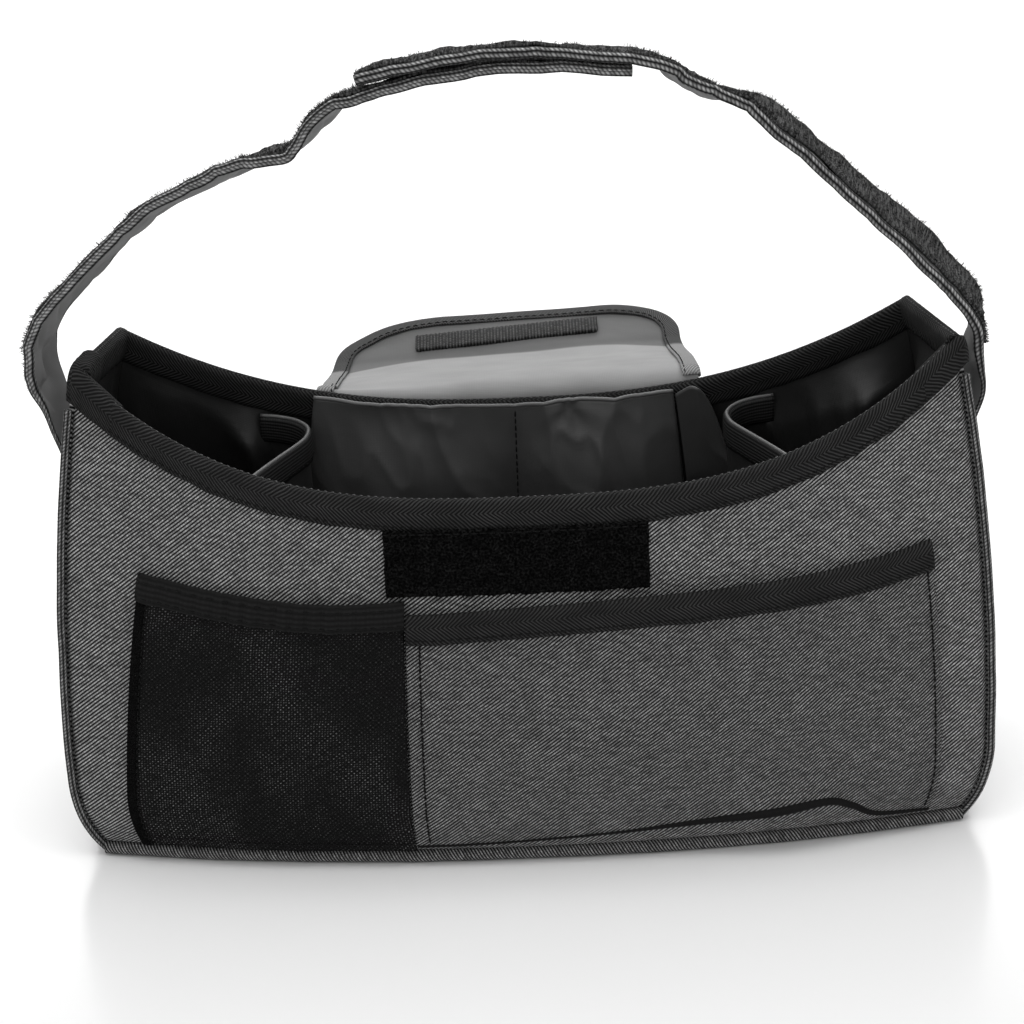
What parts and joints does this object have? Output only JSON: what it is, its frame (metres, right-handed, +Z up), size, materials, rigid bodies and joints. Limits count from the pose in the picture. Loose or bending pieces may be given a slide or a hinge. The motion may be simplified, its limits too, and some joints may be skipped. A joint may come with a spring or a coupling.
{
  "type": "stroller organizer",
  "caption": "Open-topped padded fabric organizer with a mesh pocket and a twill pocket, cup dividers, a lid turned back behind the rim, and straps joined into a carry handle.",
  "frame": {"origin": "middle of the flat bottom, on the table", "axes": "+X across the bag to the right as seen from the pocket side, +Y towards the back wall with the lid, +Z up"},
  "size_m": [0.3853, 0.2344, 0.318],
  "materials": {
    "twill": "grey melange twill",
    "padding": "foam sheet",
    "lining": "smooth dark nylon",
    "board": "plain board",
    "tape": "black herringbone tape",
    "mesh": "fine black mesh",
    "elastic": "ribbed black elastic",
    "loops": "fuzzy black loop tape",
    "hooks": "stiff black hook tape"
  },
  "bodies": {
    "root": {"front_panel": "twill", "back_panel": "twill", "gusset_band": "twill", "front_welt": "twill", "back_welt": "twill", "front_padding": "padding", "right_padding": "padding", "back_padding": "padding", "left_padding": "padding", "base_board": "board", "lining_shell": "lining", "rim_tape": "tape", "loop_patch": "loops", "mesh_pocket": "mesh", "mesh_pocket_elastic": "elastic", "twill_pocket": "twill", "twill_pocket_tape": "tape", "slip_pocket": "lining", "left_cup_divider": "lining", "left_cup_elastic": "elastic", "right_cup_divider": "lining", "right_cup_elastic": "elastic", "lid_lining": "lining", "lid_panel": "twill", "lid_tape": "tape", "lid_hook_strip": "hooks", "left_strap": "twill", "left_strap_loop_tape": "loops", "right_strap": "twill", "right_strap_loop_tape": "loops", "right_strap_hook_tape": "hooks"}
  },
  "joints": []
}
